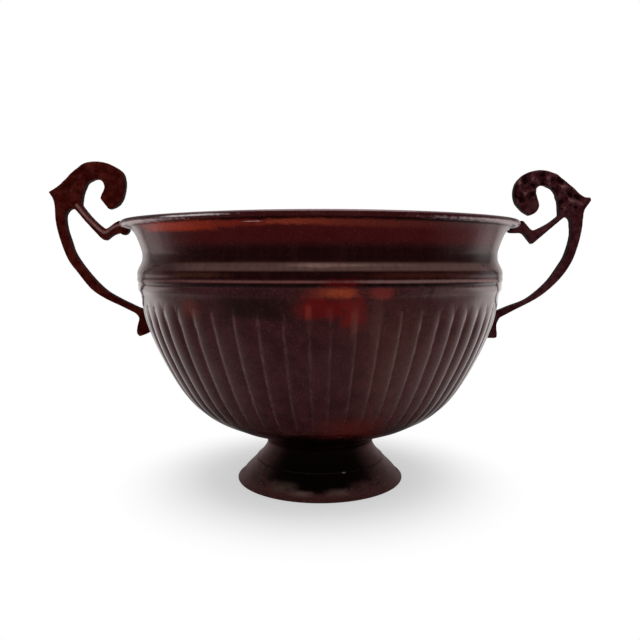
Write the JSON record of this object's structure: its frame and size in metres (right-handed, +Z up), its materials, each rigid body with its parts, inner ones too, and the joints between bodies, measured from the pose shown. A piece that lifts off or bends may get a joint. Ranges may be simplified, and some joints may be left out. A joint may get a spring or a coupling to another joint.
{
  "type": "footed urn",
  "caption": "Two-handled footed urn: a reeded bowl with a banded shoulder, narrow neck and rolled rim, scroll handles on both sides, on a low spreading foot.",
  "frame": {"origin": "centre of the underside of the foot, under the bowl's axis", "axes": "+Z up along the bowl's axis, +X towards the right handle as seen from the front, +Y to the back"},
  "size_m": [0.3228, 0.2296, 0.19],
  "materials": {
    "copper_sheet": "dark brown oxidised copper, semi-gloss, mottled, with reddish bare patches",
    "foot_copper": "darker oxidised copper, glossy",
    "cast_handle": "rough cast, dark maroon brown, satin",
    "iron_wire": "drawn wire, dull",
    "fastener": "dull brass"
  },
  "bodies": {
    "root": {"bowl": "copper_sheet", "rim_wire": "iron_wire", "foot_stem": "foot_copper", "foot_skirt": "foot_copper", "handle_left": "cast_handle", "handle_right": "cast_handle", "handle_screw_left": "fastener", "handle_screw_right": "fastener", "screw_washer_left": "fastener", "screw_washer_right": "fastener", "foot_bolt": "fastener", "bowl_washer": "fastener", "foot_washer": "fastener", "foot_nut": "fastener"}
  },
  "joints": []
}
